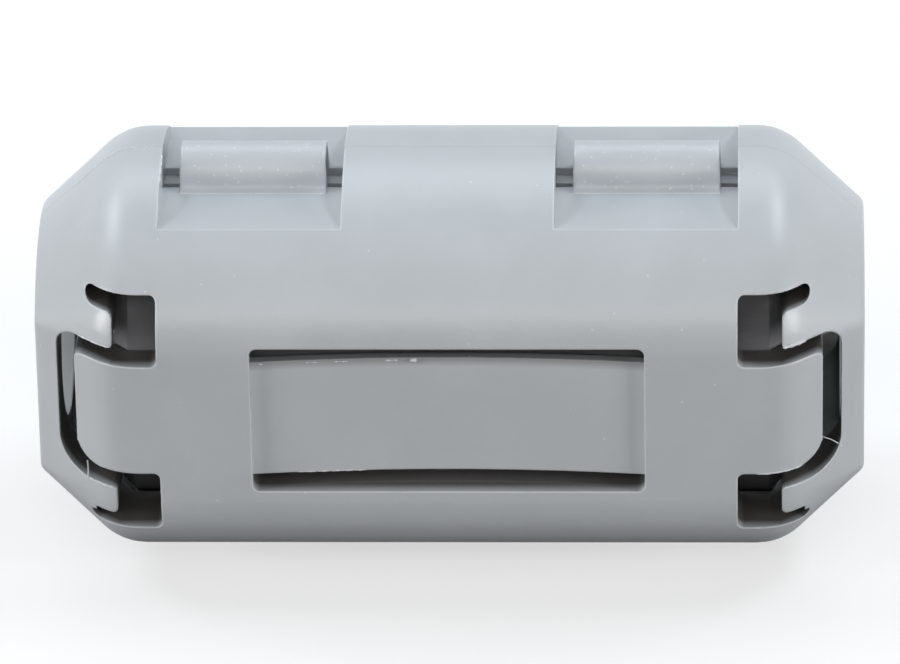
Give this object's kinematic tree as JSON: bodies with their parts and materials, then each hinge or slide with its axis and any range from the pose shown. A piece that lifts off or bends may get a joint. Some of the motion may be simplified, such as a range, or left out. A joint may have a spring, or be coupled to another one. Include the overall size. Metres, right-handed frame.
{
  "type": "clip-on ferrite bead",
  "caption": "Hinged plastic case that clips a split ferrite sleeve round a cable, with arched living hinges, slotted grip tongues, a bowed spring panel and snap arms.",
  "frame": {"origin": "middle of the cable hole, on its axis and half way along the closed case", "axes": "+X along the cable, +Z from the latch to the hinge, -Y towards the front half that opens"},
  "size_m": [0.025, 0.0114, 0.0127],
  "materials": {
    "case_plastic": "light cool grey moulded nylon, satin with a faint spark-eroded grain",
    "ferrite": "dark grey sintered ferrite, matt, ground mating faces"
  },
  "bodies": {
    "rear_half": {"rear_case_half": "case_plastic", "rear_ferrite_half": "ferrite", "hinge_strap_left": "case_plastic", "hinge_strap_right": "case_plastic"},
    "front_half": {"front_case_half": "case_plastic", "front_ferrite_half": "ferrite"}
  },
  "joints": [
    {"name": "case_hinge", "type": "hinge", "parent": "rear_half", "child": "front_half", "pos_m": [0, 0, 0.00645], "axis": [-1, 0, 0], "range_deg": [0, 170], "deforming": ["hinge_strap_left", "hinge_strap_right"]}
  ]
}
